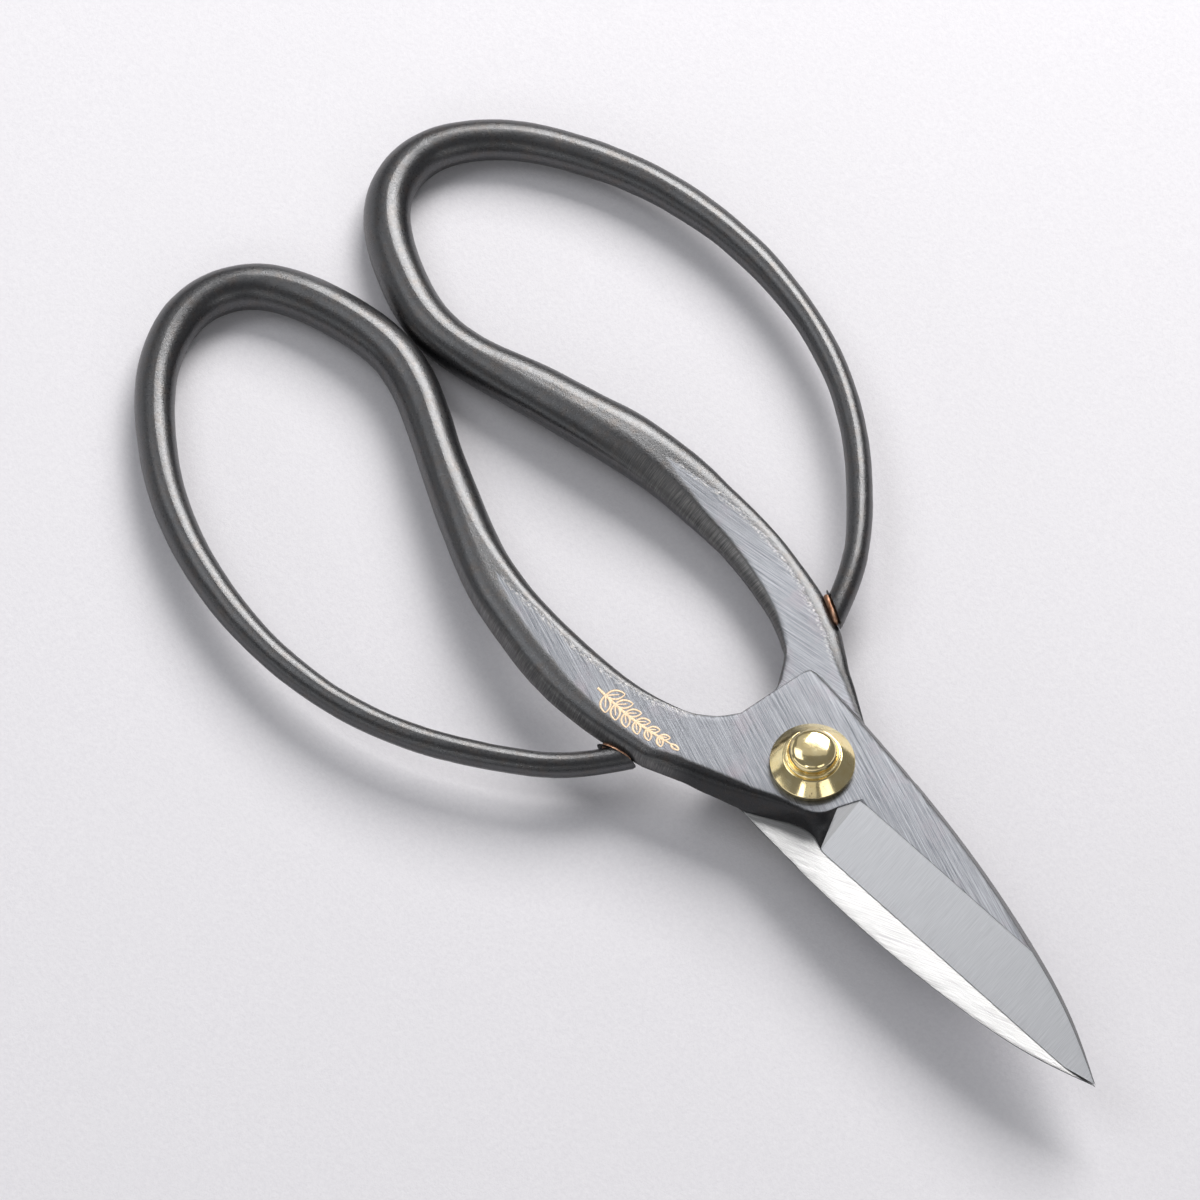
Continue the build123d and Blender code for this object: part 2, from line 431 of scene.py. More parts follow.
def half_sections(shank_rows):
    """All sections of a half, from the tail of its bow to the point of its blade. From
    ramp_start on, the wall on the edge's side is the ground bevel."""
    bar, bar_cuts, bar_weights, bar_flat = bar_sections(shank_rows)
    head = head_sections(bar)
    blade = blade_sections()
    gone = np.arange(1, len(head) + 1) / HEAD_STEPS
    fade = np.clip((gone[:, None] - fade_start) / fade_length, 0, 1)
    head_cuts = bar_cuts[-1] * (1 - fade[:, :, None]) + head_edge * fade[:, :, None]
    head_weights = bar_weights[-1] * (1 - fade) + PLATE_WEIGHT * fade
    blade_cuts = np.tile(blade_edge, (len(blade), 1, 1))
    blade_weights = np.full((len(blade), 4), PLATE_WEIGHT)
    return SimpleNamespace(
        corners=np.concatenate([bar, head, blade]),
        cuts=np.concatenate([bar_cuts, head_cuts, blade_cuts]),
        weights=np.concatenate([bar_weights, head_weights, blade_weights]),
        flat=np.concatenate([bar_flat, np.ones(len(head) + len(blade))]),
        head_start=len(bar),
        ramp_start=len(bar) + len(head) - HEAD_STEPS - 1,
    )


def hammer(loop, share, seed):
    """Moves the points of a section in or out a little, as hammer blows leave them."""
    out = loop - loop.mean(0)
    out /= np.linalg.norm(out, axis=1)[:, None] + TINY
    for j, (x, y, z) in enumerate(loop):
        broad = noise.noise(Vector((x * 0.16, y * 0.16 + seed, z * 0.3)))
        small = noise.noise(Vector((x * 0.45 + seed, y * 0.45, z * 0.45)))
        loop[j] += out[j] * share[j] * (0.075 * broad + 0.035 * small - 0.03)


def section_masks(sections, i, loop, marks, travel):
    """What the steel's material needs to know at each point of section i, by attribute:
    the way along and round the bar, how far inside a ground face it is and at which of its
    borders, and shares of rubbed facet, shank, bevel and whetted inner face."""
    flat = sections.flat[i]
    ground = i >= sections.ramp_start
    in_head = np.clip((i - sections.head_start) / (2.0 * HEAD_STEPS), 0, 1)
    around = np.r_[0, np.cumsum(np.linalg.norm(np.diff(loop, axis=0), axis=1))]
    wall = side_window(marks, 0)
    chamfer = np.clip((chamfer_half - np.abs(marks - chamfer_mark)) / 0.1, 0, 1)
    depth, late = inside_faces(loop, marks)
    depth -= 5.0 * (1 - flat)
    if ground:
        beside_bevel = (marks > 0.8) & (marks < 1.5)
        depth = np.where(beside_bevel, np.maximum(depth, 1.0), depth)
    past_pivot = np.clip((loop[:, 0] + 2.0 - 0.25 * loop[:, 1]) / 3.0, 0, 1)
    return {
        "wrap": np.c_[np.full(len(loop), travel), around, marks],
        "inset": depth,
        "ragged": late.astype(float),
        "facet": np.maximum(wall, chamfer) * flat * (1 - in_head),
        "shank": np.full(len(loop), 1 - in_head),
        "bevel": wall * float(ground),
        "bright": side_window(marks, 3) * past_pivot,
    }


def forged_half(name, shank_rows, turned, seed):
    """One half as a single mesh with the masks that its steel needs."""
    sections = half_sections(shank_rows)
    middle = sections.corners.mean(1)
    travel = np.r_[0, np.cumsum(np.linalg.norm(np.diff(middle, axis=0), axis=1))]
    start, end = tail_way
    heading = (middle[end] - middle[start]) * np.array([1, 1, 0])
    heading /= np.linalg.norm(heading)
    loops, masks = [], []
    for i in range(len(middle)):
        loop, marks = ring(sections.corners[i], sections.cuts[i], sections.weights[i])
        if i < tail_sections:
            loop = cut_tail(loop, heading)
        elif i < sections.ramp_start - HEAD_STEPS:
            faces = np.maximum(side_window(marks, 1), side_window(marks, 3)) * sections.flat[i]
            hammer(loop, 1 - np.clip(faces * 2, 0, 1), seed)
        loops.append(loop)
        masks.append(section_masks(sections, i, loop, marks, travel[i]))
    points = np.concatenate(loops)
    faces = tube_faces(len(loops), len(loops[0]), flip=True)
    half = new_mesh(name, placed(points, turned), faces, smooth_angle=24)
    attribute(half, "plan", points + np.array([0, 0, seed]))
    for key in masks[0]:
        attribute(half, key, np.concatenate([mask[key] for mask in masks]))
    return half


# -------------------------------------------------------------- meshes

def placed(points, turned):
    """Points of a half moved to their place in the part, with the upper half turned over."""
    if turned:
        return points * np.array([1, -1, -1]) + np.array([0, 0, parting_z + slip_gap / 2])
    return points + np.array([0, 0, parting_z - slip_gap / 2])


def tube_faces(rows, size, first=0, joined=False, flip=False):
    """Faces over rows of size points each, from vertex first on. A joined tube meets its own
    start; any other is capped at both ends. flip turns every face over."""
    faces = []
    for i in range(rows if joined else rows - 1):
        here = first + i * size
        ahead = first + (i + 1) % rows * size
        for j in range(size):
            n = (j + 1) % size
            faces.append((here + j, here + n, ahead + n, ahead + j))
    if not joined:
        last = first + (rows - 1) * size
        faces.append(tuple(first + j for j in reversed(range(size))))
        faces.append(tuple(last + j for j in range(size)))
    if flip:
        faces = [(face[0],) + face[:0:-1] for face in faces]
    return faces


def new_mesh(name, verts_mm, faces, smooth_angle=30):
    """A smooth-shaded mesh object from points in millimetres."""
    mesh = bpy.data.meshes.new(name)
    mesh.from_pydata([tuple(v) for v in np.asarray(verts_mm) * MM], [], faces)
    mesh.validate()
    mesh.shade_smooth()
    mesh.set_sharp_from_angle(angle=math.radians(smooth_angle))
    thing = bpy.data.objects.new(name, mesh)
    bpy.context.scene.collection.objects.link(thing)
    return thing


def attribute(thing, name, values):
    """A point attribute: one number, or three, for each vertex."""
    values = np.asarray(values, np.float32)
    if values.ndim == 1:
        layer = thing.data.attributes.new(name, "FLOAT", "POINT")
        layer.data.foreach_set("value", values)
    else:
        layer = thing.data.attributes.new(name, "FLOAT_VECTOR", "POINT")
        layer.data.foreach_set("vector", values.ravel())


def turned_piece(name, outline, segments=128, round_steps=4, closed=False):
    """A turned part: (radius, z, rounding) corners revolved about the pivot axis."""
    path = []
    count = len(outline)
    for k, (r, z, cut) in enumerate(outline):
        here = np.array([r, z])
        ends = not closed and k in (0, count - 1)
        if cut <= 0 or ends:
            path.append(here)
            continue
        before = np.array(outline[k - 1][:2])
        after = np.array(outline[(k + 1) % count][:2])
        start = here + (before - here) * cut / np.linalg.norm(before - here)
        stop = here + (after - here) * cut / np.linalg.norm(after - here)
        for t in np.linspace(0, 1, round_steps + 1):
            path.append(start * (1 - t) ** 2 + here * 2 * t * (1 - t) + stop * t ** 2)
    verts = []
    for r, z in path:
        for a in np.arange(segments) * 2 * math.pi / segments:
            verts.append((r * math.cos(a), r * math.sin(a), z))
    faces = tube_faces(len(path), segments, joined=closed)
    return new_mesh(name, verts, faces, smooth_angle=35)


def dome(radius, base, height, side, steps=16):
    """Outline rows of a steep-sided dome with a broad crown."""
    rows = [(radius, base, 0.0)]
    full = 2 / 2.7              # below 1 makes the curve fuller than an ellipse
    for a in np.linspace(0, math.pi / 2, steps)[:-1]:
        r = radius * math.cos(a) ** full
        rows.append((r, base + side + (height - side) * math.sin(a) ** full, 0.0))
    rows.append((0.02, base + height, 0.0))
    return rows


# ----------------------------------------------------------------- brass

washer_r = 6.0
washer_rim = 0.9
washer_top_r = 4.15
washer_h = 2.5
washer_slip = 0.05
rivet_r = 2.5
bore_clearance = 0.05
collar_r = 3.95
collar_h = 0.7
dome_r = 3.4
dome_h = 2.0
dome_side = 0.45
tail_r = 3.7
tail_h = 1.6
tail_flat_r = 1.8
face_z = parting_z + slip_gap / 2 + plate_t
back_z = parting_z - slip_gap / 2 - plate_t


def cone_washer(name, base, up):
    """A conical washer with its flat side at height base and its cone up or down."""
    bore = rivet_r + bore_clearance
    outline = [
        (bore, base, 0.0),
        (washer_r, base, 0.12),
        (washer_r, base + up * washer_rim, 0.1),
        (washer_top_r, base + up * washer_h, 0.14),
        (bore, base + up * washer_h, 0.0),
    ]
    if up < 0:
        outline.reverse()
    return turned_piece(name, outline, closed=True)


def rivet():
    """The rivet: a peened tail with a small flat behind, a collar and a dome in front."""
    head_z = face_z + washer_slip + washer_h
    top = head_z + collar_h
    outline = [
        (0.02, 0.0, 0.0),
        (tail_flat_r, 0.0, 0.25),
        (2.75, 0.32, 0.6),
        (tail_r - 0.15, 0.95, 0.25),
        (tail_r, tail_h, 0.1),
        (rivet_r, tail_h, 0.0),
        (rivet_r, head_z, 0.0),
        (collar_r, head_z, 0.12),
        (collar_r, top, 0.22),
        (dome_r + 0.14, top - 0.02, 0.04),
        (dome_r + 0.05, top - 0.16, 0.03),
    ]
    outline += dome(dome_r, top - 0.12, dome_h + 0.12, dome_side)
    return turned_piece("rivet_head_and_tail", outline)


# --------------------------------------------------------- braze, sprig

def braze_bead(name, turned, seed):
    """A lumpy bead of brazing metal round the foot of the tail."""
    out = np.array(tail_face) / np.hypot(*tail_face)
    along = np.array([-out[1], out[0]])
    verts = []
    rows, around = 9, 56
    thickness = 0.8
    buried = 0.75               # how much of it lies behind the tail's cut
    for s in np.linspace(0, 1, rows):
        depth = thickness * s - buried
        grow = 0.3 * math.sin(math.pi * s) ** 0.6 - 0.3
        for a in np.arange(around) * 2 * math.pi / around:
            ca, sa = math.cos(a), math.sin(a)
            u = math.copysign(abs(ca) ** 0.7, ca) * (braze_w / 2 + grow)
            v = math.copysign(abs(sa) ** 0.7, sa) * (braze_h / 2 + grow)
            lump = 1 + 0.07 * noise.noise(Vector((u * 0.9 + seed, v * 0.9, depth)))
            p = np.array(tail_cut) + along * (u * lump - 0.3) + out * depth
            verts.append((p[0], p[1], tail_z + v * lump))
    return new_mesh(name, placed(np.array(verts), turned), tube_faces(rows, around), smooth_angle=60)


def leaf_strokes(root, angle, size):
    """One leaf of the sprig: its two curved sides and its vein."""
    ahead = np.array([math.cos(angle), math.sin(angle)])
    across = np.array([-ahead[1], ahead[0]])
    s = np.linspace(0, 1, 13)
    strokes = []
    for bulge in (0.26, -0.26, 0.0):
        reach = s if bulge else s * 0.7
        line = root + ahead * (reach * size)[:, None]
        line = line + across * (np.sin(s * math.pi) ** 0.8 * bulge * size)[:, None]
        strokes.append((line, 0.12 if bulge else 0.09))
    return strokes


def sprig_strokes():
    """Centre line and half width of each stroke of the sprig, in plan."""
    t = np.linspace(0, 1, 25)
    stem = np.c_[-28.2 + 13.4 * t, 15.9 - 2.4 * t + 0.55 * np.sin(t * math.pi)]
    strokes = [(stem, 0.17)]
    for k in range(6):
        at = 3 + 3.5 * k
        root = np.array([np.interp(at, np.arange(25), stem[:, c]) for c in (0, 1)])
        for hand in (1, -1):
            angle = math.radians(-8 + hand * (48 - 2.5 * k))
            strokes += leaf_strokes(root, angle, 2.75 - 0.22 * k)
    s = np.linspace(0, 1, 13)
    for bulge in (0.3, -0.3):
        bud = stem[-1] + np.c_[s * 1.5, -0.25 * s + np.sin(s * math.pi) * bulge]
        strokes.append((bud, 0.12))
    return strokes


def sprig():
    """A leaf sprig engraved and gilded on the upper half's flat, as line work."""
    crest = (-1.0, -0.6, 0.0, 0.6, 1.0)
    sunk = 0.05                 # how deep each stroke goes into the steel
    broaden = 1.5
    section = [(a, 0.012 + 0.014 * (1 - a * a)) for a in crest] + [(1.0, -sunk), (-1.0, -sunk)]
    verts, faces, across = [], [], []
    for line, half_width in sprig_strokes():
        way = np.gradient(line, axis=0)
        way /= np.linalg.norm(way, axis=1)[:, None]
        normal = np.c_[-way[:, 1], way[:, 0]]
        taper = 0.45 + 0.55 * np.sin(np.linspace(0.12, 1, len(line)) * math.pi) ** 0.5
        faces += tube_faces(len(line), len(section), first=len(verts))
        for i, p in enumerate(line):
            for a, lift in section:
                q = p + normal[i] * a * half_width * broaden * taper[i]
                verts.append((q[0], -q[1], face_z + lift))
                across.append(abs(a))
    piece = new_mesh("gilded_sprig", verts, faces, smooth_angle=60)
    attribute(piece, "across", across)
    return piece


# ------------------------------------------------------------- materials

class Tree:
    """Short forms for building a material's nodes."""

    def __init__(self, name):
        self.material = bpy.data.materials.new(name)
        self.material.use_nodes = True
        self.nodes = self.material.node_tree.nodes
        self.links = self.material.node_tree.links
        self.nodes.clear()
        self.shader = self.nodes.new("ShaderNodeBsdfPrincipled")
        out = self.nodes.new("ShaderNodeOutputMaterial")
        self.links.new(self.shader.outputs[0], out.inputs["Surface"])

    def put(self, kind, inputs=None, **settings):
        """A new node with its settings and inputs."""
        node = self.nodes.new(kind)
        for key, value in settings.items():
            setattr(node, key, value)
        for key, value in (inputs or {}).items():
            self.feed(node.inputs[key], value)
        return node

    def feed(self, socket, value):
        """Links a socket, or sets its constant."""
        if isinstance(value, bpy.types.NodeSocket):
            self.links.new(value, socket)
        else:
            socket.default_value = value

    def mask(self, name, vector=False):
        """A point attribute of the mesh."""
        node = self.put("ShaderNodeAttribute", attribute_name=name)
        return node.outputs["Vector" if vector else "Fac"]

    def millimetres(self):
        """The object's own coordinates in millimetres."""
        return self.stretch(self.put("ShaderNodeTexCoord").outputs["Object"], (1000, 1000, 1000))

    def stretch(self, vector, scale, turn=0.0):
        """A vector turned about z by an angle in degrees and then scaled."""
        node = self.put("ShaderNodeMapping", {"Vector": vector, "Rotation": (0, 0, math.radians(turn))})
        second = self.put("ShaderNodeMapping", {"Vector": node.outputs[0], "Scale": scale})
        return second.outputs[0]

    def noise(self, vector, scale=1.0, detail=3.0, rough=0.55):
        inputs = {"Vector": vector, "Scale": scale, "Detail": detail, "Roughness": rough}
        return self.put("ShaderNodeTexNoise", inputs).outputs["Fac"]

    def ramp(self, value, low, high, to_low=0.0, to_high=1.0):
        """A value taken from one range to another, and held at the ends."""
        inputs = {"Value": value, "From Min": low, "From Max": high, "To Min": to_low, "To Max": to_high}
        return self.put("ShaderNodeMapRange", inputs).outputs["Result"]

    def math(self, operation, a, b=0.5):
        return self.put("ShaderNodeMath", {0: a, 1: b}, operation=operation).outputs[0]

    def times(self, a, b):
        return self.math("MULTIPLY", a, b)

    def most(self, a, b):
        return self.math("MAXIMUM", a, b)

    def mix(self, share, a, b):
        """A colour between a and b."""
        return self.between("RGBA", share, a, b)

    def blend(self, share, a, b):
        """A number between a and b."""
        return self.between("FLOAT", share, a, b)

    def between(self, kind, share, a, b):
        node = self.put("ShaderNodeMix", data_type=kind)
        self.feed(node.inputs["Factor"], share)
        self.feed(node.inputs["A"], a)
        self.feed(node.inputs["B"], b)
        return node.outputs["Result"]

    def bump(self, height, distance, strength, below=None):
        """A normal from a height, whose full range is a distance in millimetres."""
        inputs = {"Height": height, "Distance": distance * MM, "Strength": strength}
        if below is not None:
            inputs["Normal"] = below
        return self.put("ShaderNodeBump", inputs).outputs["Normal"]

    def surface(self, colour, roughness, normal):
        """Feeds the shader's varying inputs."""
        self.feed(self.shader.inputs["Base Color"], colour)
        self.feed(self.shader.inputs["Roughness"], roughness)
        self.feed(self.shader.inputs["Normal"], normal)


# The steel's black scale is dielectric; its ground, rubbed and honed surfaces
# are metal. Masks are 1 on their own surface and 0 elsewhere.

def steel_patterns(t):
    """The noises that the steel is drawn with."""
    plan = t.mask("plan", vector=True)
    wrap = t.mask("wrap", vector=True)
    return SimpleNamespace(
        patch=t.noise(plan, 0.22, 3, 0.6),
        cloud=t.noise(plan, 0.6, 4, 0.7),
        lumps=t.noise(plan, 1.6, 4, 0.65),
        flakes=t.noise(plan, 2.6, 4, 0.7),
        grain=t.noise(plan, 2.8, 5, 0.75),
        sparkle=t.noise(plan, 6.5, 2, 0.5),
        speck=t.noise(plan, 11.0, 2, 0.6),
        border=t.noise(t.stretch(plan, (0.5, 3.0, 1.0), turn=-14), 1.0, 4, 0.65),
        # grinding marks: on the flats, across the walls, on the bevel and the inner face
        long_marks=t.noise(t.stretch(plan, (0.10, 5.5, 1.0), turn=-14), 1.0, 5, 0.75),
        fine_marks=t.noise(t.stretch(plan, (0.22, 15.0, 1.0), turn=-10), 1.0, 3, 0.7),
        cross_marks=t.noise(t.stretch(wrap, (7.0, 0.3, 0.3)), 1.0, 4, 0.7),
        hone_marks=t.noise(t.stretch(plan, (9.0, 0.22, 0.4), turn=6), 1.0, 4, 0.7),
        whet_marks=t.noise(t.stretch(plan, (0.12, 7.5, 1.0), turn=-29), 1.0, 5, 0.75),
    )


def steel_zones(t, p):
    """Masks of the steel's surfaces. The flats end in a ragged, feathered border along the
    shank, and in a clean one on the head."""
    loose = t.times(t.mask("shank"), t.mask("ragged"))
    wander = t.times(t.ramp(p.border, 0.3, 0.7, -0.45, 0.45), t.ramp(loose, 0.0, 1.0, 0.25, 1.0))
    depth = t.math("ADD", t.mask("inset"), wander)
    flat = t.ramp(depth, -0.25, 0.2)
    feather = t.times(t.ramp(depth, -0.3, 0.0), t.ramp(depth, 0.9, 0.2))
    feather = t.times(feather, t.ramp(p.flakes, 0.45, 0.62))
    feather = t.times(feather, loose)
    # painted shade: a band just outside each flat's border, where the flat turns into the rounded edge,
    # stands in for the shade in that crease
    painted_crease_shade = t.times(t.ramp(depth, -0.7, -0.35), t.ramp(depth, -0.05, -0.3))
    honed = t.ramp(t.mask("bevel"), 0.4, 0.6)
    bright = t.math("ADD", t.mask("bright"), t.ramp(p.border, 0.3, 0.7, -0.15, 0.15))
    inner = t.ramp(bright, 0.45, 0.6)
    facet = t.times(t.ramp(t.mask("facet"), 0.2, 0.8), t.math("SUBTRACT", 1.0, flat))
    facet = t.times(facet, t.ramp(p.cross_marks, 0.35, 0.6, 0.45, 1.0))
    smooth = t.most(flat, t.most(honed, inner))
    return SimpleNamespace(
        flat=flat,
        feather=feather,
        painted_crease_shade=painted_crease_shade,
        honed=honed,
        inner=inner,
        facet=facet,
        metal=t.most(t.most(flat, facet), t.most(inner, honed)),
        unground=t.math("SUBTRACT", 1.0, smooth),
    )


def scale_colour(t, p, z):
    """Black oxide, brown where it is rubbed thin, with a painted shade line beside the ground flats."""
    black, soft_black = (0.004, 0.004, 0.005, 1), (0.010, 0.010, 0.011, 1)
    grey, brown = (0.026, 0.025, 0.025, 1), (0.030, 0.019, 0.014, 1)
    colour = t.mix(t.ramp(p.patch, 0.35, 0.7), black, soft_black)
    colour = t.mix(t.ramp(p.grain, 0.56, 0.74, 0, 0.8), colour, grey)
    colour = t.mix(t.ramp(p.cloud, 0.52, 0.8, 0, 0.55), colour, brown)
    # painted shade: the scale is mixed toward near-black in that band beside each flat's border
    return t.mix(t.times(z.painted_crease_shade, 0.7), colour, (0.008, 0.008, 0.009, 1))


def flat_colour(t, p, z):
    """Ground steel, with a trace of temper colour, dark specks and a pale torn border."""
    dark, light, scratch = (0.070, 0.075, 0.085, 1), (0.26, 0.27, 0.29, 1), (0.34, 0.345, 0.355, 1)
    temper, pit, torn = (0.21, 0.18, 0.20, 1), (0.02, 0.02, 0.022, 1), (0.42, 0.41, 0.40, 1)
    colour = t.mix(t.ramp(p.long_marks, 0.32, 0.68), dark, light)
    colour = t.mix(t.ramp(p.fine_marks, 0.55, 0.75, 0, 0.6), colour, scratch)
    colour = t.mix(t.ramp(p.patch, 0.55, 0.75, 0, 0.45), colour, temper)
    colour = t.mix(t.ramp(p.speck, 0.66, 0.8, 0, 0.6), colour, pit)
    return t.mix(z.feather, colour, torn)


def steel_colour(t, p, z):
    """The colours of all the steel's surfaces, laid over each other."""
    marks = t.ramp(p.cross_marks, 0.35, 0.7)
    rubbed = t.mix(marks, (0.07, 0.07, 0.072, 1), (0.24, 0.235, 0.23, 1))
    marks = t.ramp(p.whet_marks, 0.3, 0.7)
    whetted = t.mix(marks, (0.25, 0.252, 0.256, 1), (0.56, 0.562, 0.562, 1))
    marks = t.ramp(p.hone_marks, 0.3, 0.7)
    honed = t.mix(marks, (0.50, 0.505, 0.52, 1), (0.66, 0.665, 0.68, 1))
    colour = t.mix(z.facet, scale_colour(t, p, z), rubbed)
    colour = t.mix(z.flat, colour, flat_colour(t, p, z))
    colour = t.mix(z.inner, colour, whetted)
    return t.mix(z.honed, colour, honed)


def steel_roughness(t, p, z):
    scale = t.ramp(p.grain, 0.3, 0.7, 0.23, 0.39)
    ground = t.ramp(p.long_marks, 0.3, 0.7, 0.34, 0.46)
    honed = t.ramp(p.hone_marks, 0.3, 0.7, 0.33, 0.42)
    return t.blend(z.honed, t.blend(z.metal, scale, ground), honed)


def steel_normal(t, p, z):
    """Lumps and pits in the scale, file and grinding marks, and the torn border."""
    pits = t.math("ADD", p.grain, t.times(p.sparkle, 0.8))
    lines = t.math("ADD", p.long_marks, t.times(p.fine_marks, 0.6))
    normal = t.bump(t.times(p.lumps, z.unground), 0.05, 0.3)
    normal = t.bump(t.times(pits, z.unground), 0.035, 0.6, normal)
    normal = t.bump(t.times(lines, z.flat), 0.03, 0.8, normal)
    normal = t.bump(t.times(p.cross_marks, z.unground), 0.03, 0.4, normal)
    normal = t.bump(t.times(p.hone_marks, z.honed), 0.012, 0.6, normal)
    return t.bump(z.feather, 0.03, 0.6, normal)


def forged_steel():
    """Black forge scale on the bars, ground steel on the flats, honed steel on the bevels."""
    t = Tree("forged_steel")
    p = steel_patterns(t)
    z = steel_zones(t, p)
    t.surface(steel_colour(t, p, z), steel_roughness(t, p, z), steel_normal(t, p, z))
    t.feed(t.shader.inputs["Metallic"], z.metal)
    tint = t.mix(t.ramp(p.cloud, 0.46, 0.74), (0.96, 0.975, 1.0, 1), (1.0, 0.93, 0.88, 1))
    t.feed(t.shader.inputs["Specular Tint"], tint)
    sooty = t.math("SUBTRACT", 1.0, t.mask("shank"))
    t.feed(t.shader.inputs["Specular IOR Level"], t.ramp(sooty, 0.0, 1.0, 0.5, 0.2))
    t.shader.inputs["IOR"].default_value = 1.9
    return t.material


def polished_brass():
    """Turned brass: fine rings, a few pits and a slow change of tone."""
    t = Tree("polished_brass")
    mm = t.millimetres()
    x, y, z = t.put("ShaderNodeSeparateXYZ", {0: mm}).outputs
    radius = t.math("SQRT", t.math("ADD", t.times(x, x), t.times(y, y)))
    turning = t.put("ShaderNodeCombineXYZ", {0: radius, 1: z}).outputs[0]
    rings = t.noise(turning, 5.0, 4, 0.7)
    tone = t.ramp(t.noise(mm, 0.55, 3, 0.6), 0.3, 0.7)
    pits = t.ramp(t.noise(mm, 3.2, 2, 0.5), 0.66, 0.74)
    waves = t.noise(mm, 1.1, 2, 0.5)
    colour = t.mix(tone, (0.90, 0.72, 0.36, 1), (0.97, 0.84, 0.50, 1))
    colour = t.mix(t.times(pits, 0.6), colour, (0.30, 0.19, 0.07, 1))
    roughness = t.math("ADD", t.ramp(tone, 0.0, 1.0, 0.10, 0.17), t.times(pits, 0.2))
    normal = t.bump(rings, 0.006, 0.5)
    normal = t.bump(pits, 0.03, -0.5, normal)
    normal = t.bump(waves, 0.02, 0.35, normal)
    t.surface(colour, roughness, normal)
    t.shader.inputs["Metallic"].default_value = 1.0
    return t.material


def braze_metal():
    """Rough copper-toned braze."""
    t = Tree("braze_metal")
    mm = t.millimetres()
    tone = t.noise(mm, 1.4, 4, 0.65)
    grit = t.noise(mm, 6.0, 3, 0.7)
    colour = t.mix(t.ramp(tone, 0.35, 0.7), (0.28, 0.13, 0.075, 1), (0.80, 0.50, 0.34, 1))
    t.surface(colour, t.ramp(grit, 0.3, 0.7, 0.28, 0.5), t.bump(grit, 0.05, 0.6))
    t.shader.inputs["Metallic"].default_value = 1.0
    return t.material


def gilding():
    """Worn gold, darker at the rims of the strokes."""
    t = Tree("gilding")
    worn = t.noise(t.millimetres(), 5.0, 3, 0.7)
    rim = t.math("ADD", t.mask("across"), t.ramp(worn, 0.3, 0.7, -0.2, 0.2))
    colour = t.mix(t.ramp(worn, 0.35, 0.65), (0.55, 0.38, 0.22, 1), (0.95, 0.76, 0.54, 1))
    colour = t.mix(t.ramp(rim, 0.62, 0.95), colour, (0.16, 0.12, 0.09, 1))
    t.surface(colour, t.ramp(worn, 0.3, 0.7, 0.35, 0.55), t.bump(worn, 0.02, 0.5))
    t.shader.inputs["Metallic"].default_value = 0.35
    return t.material


def paper():
    """The plain pale floor."""
    t = Tree("paper")
    mm = t.millimetres()
    fibre = t.noise(mm, 1.6, 5, 0.75)
    cloud = t.noise(mm, 0.05, 2, 0.5)
    colour = t.mix(t.ramp(fibre, 0.3, 0.7), (0.74, 0.73, 0.765, 1), (0.82, 0.81, 0.84, 1))
    colour = t.mix(t.ramp(cloud, 0.3, 0.7, 0, 0.3), colour, (0.77, 0.765, 0.79, 1))
    t.feed(t.shader.inputs["Base Color"], colour)
    t.feed(t.shader.inputs["Normal"], t.bump(fibre, 0.12, 0.5))
    t.shader.inputs["Roughness"].default_value = 0.85
    t.shader.inputs["Specular IOR Level"].default_value = 0.25
    return t.material


# ---------------------------------------------------------------- pieces

steel_material = forged_steel()
brass_material = polished_brass()
braze_material = braze_metal()

lower = forged_half("lower_forging", lower_shank, turned=False, seed=3.0)
upper = forged_half("upper_forging", upper_shank, turned=True, seed=41.0)
rivet_piece = rivet()
front = cone_washer("front_cone_washer", face_z + washer_slip, 1)
back = cone_washer("back_cone_washer", back_z, -1)
lower_bead = braze_bead("lower_braze_bead", turned=False, seed=1.0)
upper_bead = braze_bead("upper_braze_bead", turned=True, seed=7.0)
mark = sprig()

for piece, body, node, slot, material in (
    (lower, "lower", "lower_half", "steel", steel_material),
    (upper, "upper", "upper_half", "steel", steel_material),
    (rivet_piece, "lower", "pivot_rivet", "brass", brass_material),
    (front, "lower", "front_washer", "brass", brass_material),
    (back, "lower", "back_washer", "brass", brass_material),
    (lower_bead, "lower", "lower_braze", "braze", braze_material),
    (upper_bead, "upper", "upper_braze", "braze", braze_material),
):
    piece.data.materials.append(material)
    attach(piece, body)
    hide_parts(node)

mark.data.materials.append(gilding())
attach(mark, "upper")


# ----------------------------------------------------------------- stage

# The snips lie on the back rivet head and the undersides of the two bows.
bow_rest = (-105.0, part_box("lower_half")[0].z / MM)


def floor():
    """A sheet of paper under the snips, tilted to meet the rivet and the bows."""
    slope = bow_rest[1] / bow_rest[0]
    gap = 0.02
    ticks = (-700.0, 0.0, 700.0)
    verts = [(x, y, slope * x - gap) for x in ticks for y in ticks]
    size = len(ticks)
    faces = []
    for i in range(size - 1):
        for j in range(size - 1):
            a = i * size + j
            faces.append((a, a + size, a + size + 1, a + 1))
    sheet = new_mesh("floor", verts, faces)
    sheet.data.materials.append(paper())


def direction(azimuth, elevation):
    """The way from the snips toward a place at these angles, in degrees."""
    a, e = math.radians(azimuth), math.radians(elevation)
    return Vector((math.sin(a) * math.cos(e), -math.cos(a) * math.cos(e), math.sin(e)))


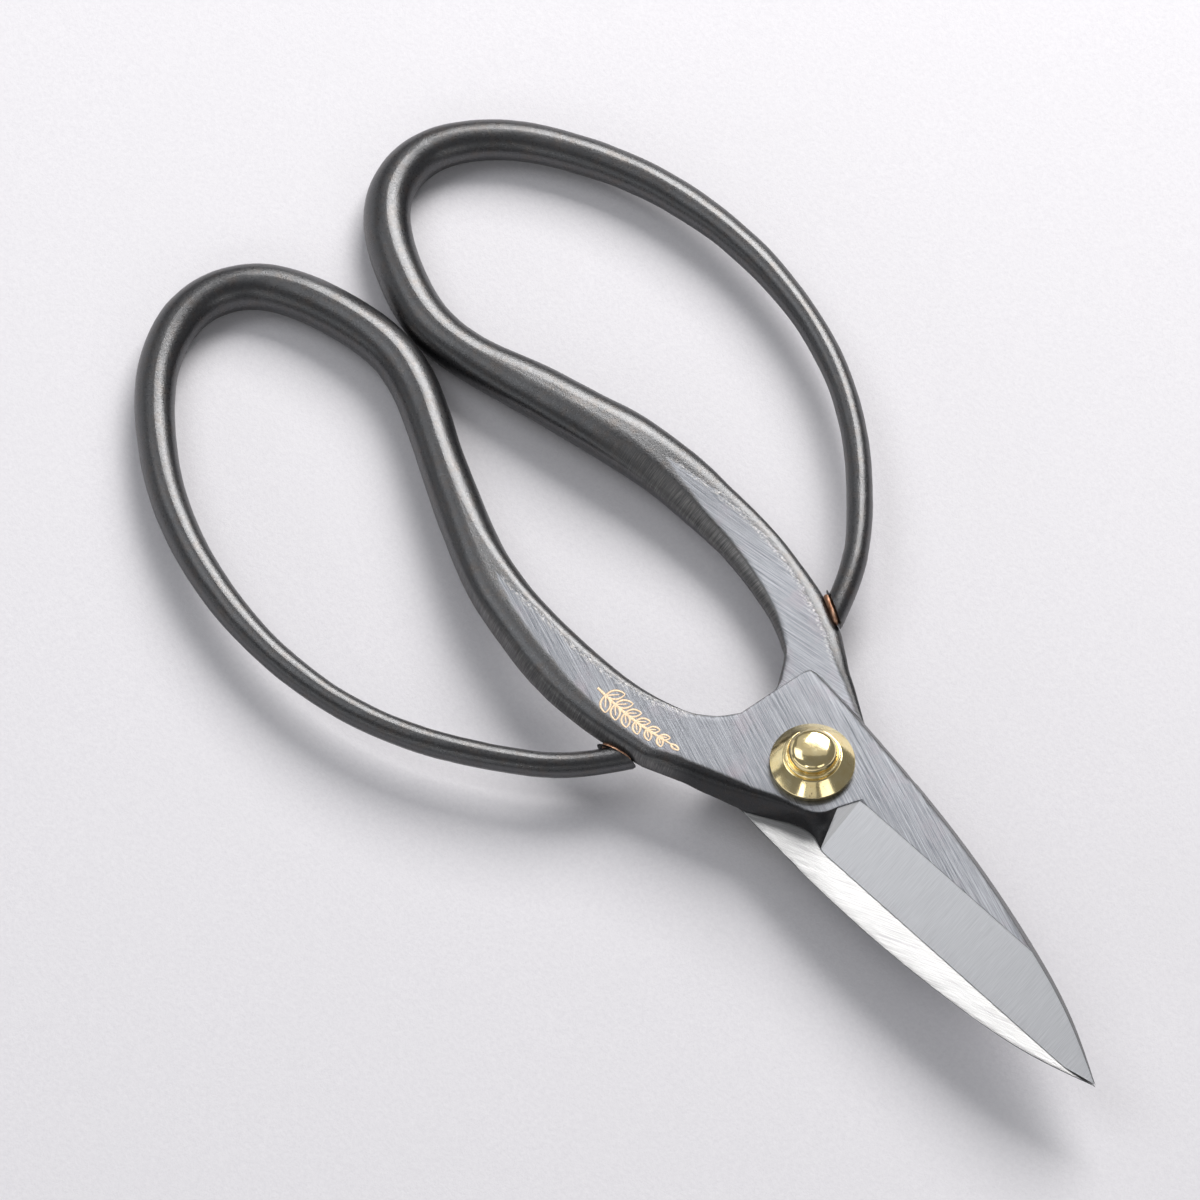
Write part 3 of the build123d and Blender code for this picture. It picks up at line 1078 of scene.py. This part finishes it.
def soft_light(name, azimuth, elevation, distance, size, power, colour):
    """A rectangular soft box aimed near the pivot, its size in millimetres and power in watts."""
    data = bpy.data.lights.new(name, "AREA")
    data.shape = "RECTANGLE"
    data.size, data.size_y = size[0] * MM, size[1] * MM
    data.energy = power
    data.color = colour
    thing = bpy.data.objects.new(name, data)
    away = direction(azimuth, elevation)
    thing.location = Vector((-20 * MM, 0, parting_z * MM)) + away * distance * MM
    thing.rotation_euler = away.to_track_quat("Z", "Y").to_euler()
    bpy.context.scene.collection.objects.link(thing)


def camera(azimuth, elevation, distance, aim, lens):
    """The photograph's view: angles in degrees, lengths and lens in millimetres."""
    away = direction(azimuth, elevation)
    data = bpy.data.cameras.new("camera")
    data.lens = lens
    data.sensor_width = 36.0
    data.clip_start, data.clip_end = 0.05, 10.0
    thing = bpy.data.objects.new("camera", data)
    thing.location = (Vector(aim) + away * distance) * MM
    thing.rotation_euler = away.to_track_quat("Z", "Y").to_euler()
    bpy.context.scene.collection.objects.link(thing)
    bpy.context.scene.camera = thing


def studio_world():
    """A faint, even light from all round."""
    world = bpy.data.worlds.new("studio")
    world.use_nodes = True
    background = world.node_tree.nodes["Background"]
    background.inputs["Color"].default_value = (0.96, 0.97, 1.0, 1)
    background.inputs["Strength"].default_value = 0.2
    bpy.context.scene.world = world


floor()
soft_light("key", 212, 42, 900, (540, 520), 8.4, (1.0, 0.98, 0.965))
soft_light("halo", 228, 52, 930, (1100, 900), 0.9, (1.0, 0.985, 0.99))
soft_light("left", 305, 55, 900, (480, 480), 1.4, (0.97, 0.98, 1.0))
soft_light("edge", 292, 12, 900, (700, 250), 0.36, (0.97, 0.98, 1.0))
soft_light("front", 0, 17, 900, (1100, 220), 0.8, (0.96, 0.98, 1.0))
soft_light("low", 50, 38, 900, (320, 240), 0.1, (1.0, 0.99, 0.98))
soft_light("right", 86, 30, 900, (360, 300), 0.5, (1.0, 0.99, 0.98))
soft_light("spark", 28, 33, 900, (150, 190), 0.28, (1.0, 1.0, 1.0))
camera(51.65, 60.07, distance=1274.7, aim=(-40.76, -5.56, parting_z), lens=270.0)
studio_world()
bpy.context.scene.view_settings.view_transform = "Standard"
